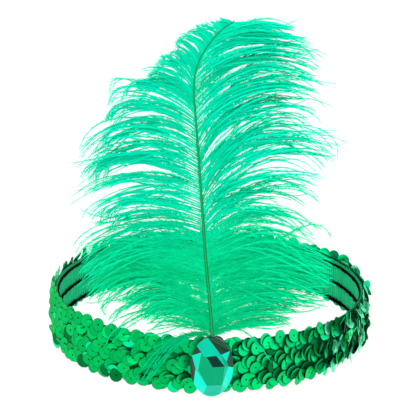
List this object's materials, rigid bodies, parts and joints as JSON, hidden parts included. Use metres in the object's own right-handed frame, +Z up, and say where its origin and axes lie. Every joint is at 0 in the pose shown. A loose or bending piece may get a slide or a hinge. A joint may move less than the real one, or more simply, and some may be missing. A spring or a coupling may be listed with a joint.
{
  "type": "flapper feather headband",
  "caption": "Round stretch headband covered in sequins, with an oval faceted stone and one tall curved plume standing up in front.",
  "frame": {"origin": "under the middle of the whole part's box, on the surface that the band's lower edge rests on", "axes": "+Z up along the plume, -Y towards the front where the stone and the plume are, +X to the wearer's left"},
  "size_m": [0.175, 0.1836, 0.1882],
  "materials": {
    "fabric": "ribbed stretch knit",
    "elastic": "matt stitched elastic",
    "sequin": "metallic film",
    "stone": "polished and foil backed",
    "quill": "dyed natural shaft",
    "plume": "dyed natural barbs"
  },
  "bodies": {
    "root": {"band_fabric": "fabric", "elastic_line_bottom": "elastic", "elastic_line_middle": "elastic", "elastic_line_top": "elastic", "sequin_cover": "sequin", "gem": "stone", "quill": "quill", "plume": "plume"}
  },
  "joints": []
}
